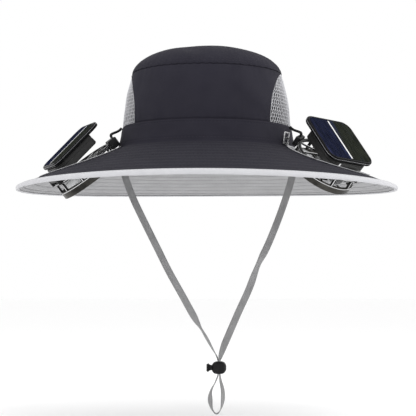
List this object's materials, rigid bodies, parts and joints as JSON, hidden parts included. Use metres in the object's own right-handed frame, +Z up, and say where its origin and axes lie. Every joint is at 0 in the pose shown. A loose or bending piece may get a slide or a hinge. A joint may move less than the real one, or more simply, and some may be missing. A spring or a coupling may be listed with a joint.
{
  "type": "solar fan hat",
  "caption": "Wide-brimmed sun hat with net sides, a chin strap with a cord lock, and spoked fan units under tilting solar panels set in bound holes of the brim.",
  "frame": {"origin": "centre of the head opening, level with the seam where the crown meets the brim", "axes": "+Z up through the crown, +Y towards the back of the head, +X towards the fan unit that is on the right seen from the front"},
  "size_m": [0.38, 0.404, 0.3632],
  "materials": {
    "charcoal_cloth": "matte woven",
    "grey_cloth": "matte woven, row stitched",
    "binding_tape": "matte woven tape",
    "net_cloth": "open air mesh",
    "strap_webbing": "matte webbing",
    "black_cord": "elastic cord",
    "black_plastic": "satin moulded",
    "gunmetal_plastic": "metallised gloss",
    "pale_plastic": "moulded gloss",
    "cell_glass": "glossy coated",
    "silver_print": "printed silver",
    "bright_metal": "bright nickel"
  },
  "bodies": {
    "root": {"crown_tip": "charcoal_cloth", "crown_front_panel": "charcoal_cloth", "crown_back_panel": "charcoal_cloth", "net_panel_left": "net_cloth", "net_panel_right": "net_cloth", "hat_band": "charcoal_cloth", "brim_top": "charcoal_cloth", "brim_underside": "grey_cloth", "brim_binding": "binding_tape", "hole_binding_left": "binding_tape", "hole_binding_right": "binding_tape", "fan_cage_left": "gunmetal_plastic", "fan_cage_right": "gunmetal_plastic", "fan_guard_left": "black_plastic", "fan_guard_right": "black_plastic", "fan_motor_left": "gunmetal_plastic", "fan_motor_right": "gunmetal_plastic", "hinge_pin_left": "bright_metal", "hinge_pin_right": "bright_metal", "ring_bracket_left": "black_plastic", "ring_bracket_right": "black_plastic", "keeper_cord_left": "black_cord", "keeper_cord_right": "black_cord", "slot_buckle_right": "bright_metal", "chin_strap": "strap_webbing", "toggle_barrel": "black_plastic"},
    "impeller_left": {"impeller_left": "pale_plastic"},
    "impeller_right": {"impeller_right": "pale_plastic"},
    "panel_left": {"battery_box_left": "black_plastic", "panel_frame_left": "black_plastic", "solar_cell_front_left": "cell_glass", "solar_cell_back_left": "cell_glass", "bus_bar_left": "silver_print"},
    "panel_right": {"battery_box_right": "black_plastic", "panel_frame_right": "black_plastic", "solar_cell_front_right": "cell_glass", "solar_cell_back_right": "cell_glass", "bus_bar_right": "silver_print"},
    "plunger": {"toggle_plunger": "black_plastic"}
  },
  "joints": [
    {"name": "fan_left_spin", "type": "hinge", "parent": "root", "child": "impeller_left", "pos_m": [-0.11193, -0.04185, -0.027], "axis": [-0.5687, -0.2532, 0.7826], "continuous": true},
    {"name": "fan_right_spin", "type": "hinge", "parent": "root", "child": "impeller_right", "pos_m": [0.115, -0.04072, -0.0235], "axis": [0.4977, -0.4225, 0.7575], "continuous": true},
    {"name": "panel_left_tilt", "type": "hinge", "parent": "root", "child": "panel_left", "pos_m": [-0.14393, -0.0561, -0.03276], "axis": [0.4067, -0.9135, 0], "range_deg": [-7, 23]},
    {"name": "panel_right_tilt", "type": "hinge", "parent": "root", "child": "panel_right", "pos_m": [0.13939, -0.06555, -0.03053], "axis": [0.7024, 0.7087, -0.0663], "range_deg": [-7, 23]},
    {"name": "plunger_press", "type": "slide", "parent": "root", "child": "plunger", "axis": [1, 0, 0], "range_m": [0, 0.002], "stiffness_N_per_m": 400, "springref_m": -0.004}
  ]
}
